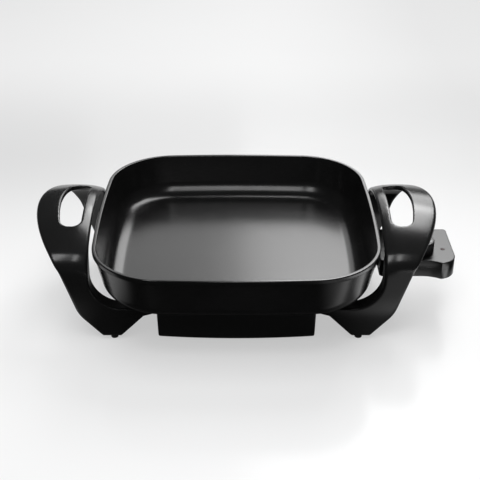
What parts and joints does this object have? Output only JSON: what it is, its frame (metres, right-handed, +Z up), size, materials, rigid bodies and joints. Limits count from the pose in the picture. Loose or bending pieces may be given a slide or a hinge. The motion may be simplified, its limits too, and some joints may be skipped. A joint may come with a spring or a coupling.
{
  "type": "electric skillet",
  "caption": "Square electric skillet: deep cast pan on arched handle-and-leg mouldings, heat shield below, plug-in temperature control with a turning knob.",
  "frame": {"origin": "on the table, at the middle of the object's box in X and Y", "axes": "+Z up, +X to the right towards the temperature control, -Y to the front"},
  "size_m": [0.4828, 0.32, 0.1305],
  "materials": {
    "pan_coat": "glossy black non-stick coat",
    "moulded_black": "satin moulded phenolic",
    "gloss_black": "glossy moulded plastic",
    "shield_black": "satin black heat paint",
    "rubber": "matt",
    "steel": "plain bright",
    "brass": "plain",
    "ceramic": "unglazed",
    "lamp_glass": "clear",
    "lens_red": "tinted clear plastic",
    "cap_grey": "satin grey",
    "mark_white": "printed white"
  },
  "bodies": {
    "cooker": {"pan": "pan_coat", "heating_element": "steel", "terminal_pins": "brass", "terminal_bushes": "ceramic", "terminal_guard": "steel", "guard_screws": "steel", "left_handle": "moulded_black", "right_handle": "moulded_black", "handle_screws": "steel", "front_left_foot": "rubber", "front_right_foot": "rubber", "rear_left_foot": "rubber", "rear_right_foot": "rubber", "heat_shield": "shield_black", "reflector_plate": "steel", "spacer_sleeves": "steel", "shield_screws": "steel"},
    "control": {"lower_housing": "moulded_black", "upper_housing": "gloss_black", "plug_nose": "moulded_black", "sensor_tube": "steel", "contact_sleeves": "brass", "switch_base": "ceramic", "switch_spacer": "ceramic", "fixed_blade": "brass", "moving_blade": "brass", "neon_lamp": "lamp_glass", "lamp_lens": "lens_red", "cord_gland": "rubber", "housing_screws": "steel", "knob_bush": "brass"},
    "knob": {"knob": "gloss_black", "knob_cap": "cap_grey", "knob_pointer": "mark_white", "knob_shaft": "steel", "shaft_clip": "steel"}
  },
  "joints": [
    {"name": "control_slide", "type": "slide", "parent": "cooker", "child": "control", "axis": [1, 0, 0], "range_m": [0, 0.09]},
    {"name": "knob_turn", "type": "hinge", "parent": "control", "child": "knob", "pos_m": [0.20341, -0.014, 0.07], "axis": [0, 0, -1], "range_deg": [0, 280]}
  ]
}
